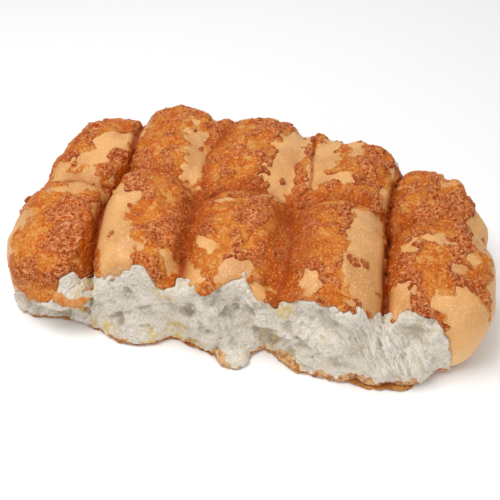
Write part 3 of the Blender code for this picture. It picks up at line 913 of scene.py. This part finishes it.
class BATCH_OT_base_crust(Operator):
    """Make the thin ragged crust of the base, which shows as a brown lip under the torn crumb"""

    bl_idname = "batch.base_crust"
    bl_label = "Base Crust"

    def execute(self, context):
        settings = context.scene.batch_base
        material = base_material(settings)
        sides = (
            ("front", FRONT_BASE, FRONT_LIPS, -1, FRONT_STRIP),
            ("back", BACK_BASE, BACK_LIPS, 1, BACK_STRIP),
        )
        for name, line, lips, side, ends in sides:
            piece = self.add_sheet(name, ends)
            self.shape_sheet(piece.data, line, lips, side, ends, settings)
            apply_modifier(piece, "SOLIDIFY", thickness=settings.thickness, offset=0)
            activate(piece)
            bpy.ops.object.mode_set(mode="EDIT")
            bpy.ops.mesh.select_all(action="SELECT")
            bpy.ops.mesh.normals_make_consistent(inside=False)
            bpy.ops.object.mode_set(mode="OBJECT")
            finish_piece(piece, material)
        return {"FINISHED"}

    def add_sheet(self, name, ends):
        """A flat grid as long as the tear, with one cell for each step along it."""
        deselect_all()
        length = (ends[1] - ends[0]) * MM
        bpy.ops.mesh.primitive_grid_add(x_subdivisions=round(length / LIP_STEP), y_subdivisions=14, size=1)
        piece = bpy.context.object
        piece.name = f"base_crust_{name}"
        return piece

    def shape_sheet(self, mesh, line, lips, side, ends, settings):
        """Lays the grid along the tear's foot, with a ragged outer edge that curls up here and there."""
        places = read_points(mesh)
        x = (ends[0] + (places[:, 0] + 0.5) * (ends[1] - ends[0])) * MM
        out = places[:, 1] + 0.5
        along = np.column_stack((x, np.full(len(x), side * 1.0), np.zeros(len(x))))
        reach = 1.4 * MM + 2.0 * MM * noise_at(along, 9 * MM, 3.0) + 1.2 * MM * noise_at(along, 3.4 * MM, 4.0)
        reach += 0.5 * MM * noise_at(along, 1.2 * MM, 7.0)
        for middle, half, extra in lips:
            away = np.abs(x / MM - middle) / half
            reach += 0.6 * extra * MM * (1 - smooth_step(0.6, 1.2, away))
        tip = smooth_step(ends[0] * MM, (ends[0] + STRIP_FADE) * MM, x)
        tip *= 1 - smooth_step((ends[1] - STRIP_FADE) * MM, ends[1] * MM, x)
        reach = np.maximum(reach, 0.3 * MM) * tip
        curl = np.maximum(0.6 * MM + 3 * MM * noise_at(along, 11 * MM, 9.0), 0) * out ** 3
        y = line_at(line, x) + side * (out * (LIP_INSIDE * tip + reach) - LIP_INSIDE)
        z = 0.5 * settings.thickness + curl + 0.3 * MM * np.abs(noise_at(np.column_stack((x, y, x)), 2 * MM))
        write_points(mesh, np.column_stack((x, y, z)))


class BATCH_OT_lobe_crust(Operator):
    """Add the curved strip of crust under the torn lobe, at the left end of the front"""

    bl_idname = "batch.lobe_crust"
    bl_label = "Lobe Crust"

    def execute(self, context):
        colours = context.scene.batch_crust
        crumb = bpy.data.objects["torn_crumb_front"]
        places = read_points(crumb.data)
        line_x = [point[0] for point in LOBE]
        height = np.interp(places[:, 0] / MM, line_x, [point[1] for point in LOBE]) * MM
        ends = (places[:, 0] > line_x[0] * MM) & (places[:, 0] < line_x[-1] * MM)
        along = 2 * (places[:, 0] / MM - line_x[0]) / (line_x[-1] - line_x[0]) - 1
        half = (LOBE_WIDTH + 0.6 * MM * noise_at(places, 4 * MM, 2.0)) * np.clip(1.02 - along ** 4, 0.02, 1)
        share = np.abs(places[:, 2] - height) / half
        write_field(crumb.data, "round", np.clip(1 - share ** 2, 0, 1))
        piece = peel(crumb, ends & (share < 1) & (places[:, 1] < LOBE_FRONT), "lobe_crust")
        apply_modifier(piece, "SMOOTH", factor=0.5, iterations=8)
        mesh = piece.data
        rise = 2.2 * MM * read_field(mesh, "round") - 0.3 * MM
        write_points(mesh, read_points(mesh) + read_normals(mesh) * rise[:, None])
        apply_modifier(piece, "SOLIDIFY", thickness=1.8 * MM, offset=-1)
        finish_piece(piece, strip_material(colours))
        return {"FINISHED"}


class BATCH_OT_stage(Operator):
    """Set the camera, the lights and the floor"""

    bl_idname = "batch.stage"
    bl_label = "Stage"

    def execute(self, context):
        settings = context.scene.batch_stage
        self.make_floor(context, settings)
        self.make_camera(context, settings)
        self.make_lights(context)
        return {"FINISHED"}

    def make_floor(self, context, settings):
        deselect_all()
        bpy.ops.mesh.primitive_plane_add(size=6, location=(0, 0, -0.0002))
        floor = context.object
        floor.name = "floor"
        made, _, shader = new_material("matt_white_paper")
        shader.inputs["Base Color"].default_value = (*settings.floor, 1)
        shader.inputs["Roughness"].default_value = 0.9
        floor.data.materials.append(made)

    def make_camera(self, context, settings):
        around, above = settings.azimuth, settings.elevation
        back = Vector(
            (math.sin(around) * math.cos(above), -math.cos(around) * math.cos(above), math.sin(above))
        )
        bpy.ops.object.camera_add(location=Vector(LOOK_AT) + back * settings.distance)
        camera = context.object
        level = back.to_track_quat("Z", "Y").to_matrix()
        camera.rotation_euler = (level @ Matrix.Rotation(settings.lean, 3, "Z")).to_euler()
        camera.data.sensor_width = SENSOR
        camera.data.lens = settings.lens
        context.scene.camera = camera

    def make_lights(self, context):
        lights = (
            ("key", (-0.25, -0.15, 0.95), 0.5, 6.6),
            ("fill", (0.5, -1.0, 0.4), 0.8, 2.8),
            ("rim", (0.2, 0.9, 0.6), 0.8, 1.2),
        )
        for name, place, size, power in lights:
            bpy.ops.object.light_add(type="AREA", location=place)
            light = context.object
            light.name = name
            light.data.size = size
            light.data.energy = power
            light.rotation_euler = (Vector(place) - Vector((0, 0, 0.03))).to_track_quat("Z", "Y").to_euler()
        world = bpy.data.worlds.new("white_room")
        world.use_nodes = True
        world.node_tree.nodes["Background"].inputs["Color"].default_value = (1, 1, 1, 1)
        world.node_tree.nodes["Background"].inputs["Strength"].default_value = 0.4
        context.scene.world = world
        context.scene.view_settings.view_transform = "Standard"


OPERATORS = (
    BATCH_OT_crust_body,
    BATCH_OT_melted_cheese,
    BATCH_OT_torn_crumb,
    BATCH_OT_base_crust,
    BATCH_OT_lobe_crust,
    BATCH_OT_stage,
)


class BATCH_PT_panel(Panel):
    """The steps that dress the batch"""

    bl_idname = "BATCH_PT_panel"
    bl_label = "Cheese Roll Batch"
    bl_space_type = "VIEW_3D"
    bl_region_type = "UI"
    bl_category = "Bakery"

    def draw(self, context):
        for operator in OPERATORS:
            self.layout.operator(operator.bl_idname)


SETTINGS = (
    ("batch_crust", CrustSettings),
    ("batch_cheese", CheeseSettings),
    ("batch_crumb", CrumbSettings),
    ("batch_base", BaseSettings),
    ("batch_stage", StageSettings),
)


def register():
    for name, group in SETTINGS:
        bpy.utils.register_class(group)
        setattr(bpy.types.Scene, name, PointerProperty(type=group))
    for operator in OPERATORS:
        bpy.utils.register_class(operator)
    bpy.utils.register_class(BATCH_PT_panel)


def unregister():
    bpy.utils.unregister_class(BATCH_PT_panel)
    for operator in reversed(OPERATORS):
        bpy.utils.unregister_class(operator)
    for name, group in reversed(SETTINGS):
        delattr(bpy.types.Scene, name)
        bpy.utils.unregister_class(group)


def main():
    register()
    bpy.ops.batch.crust_body()
    bpy.ops.batch.melted_cheese()
    bpy.ops.batch.torn_crumb()
    bpy.ops.batch.base_crust()
    bpy.ops.batch.lobe_crust()
    bpy.ops.batch.stage()


if __name__ == "__main__":
    main()
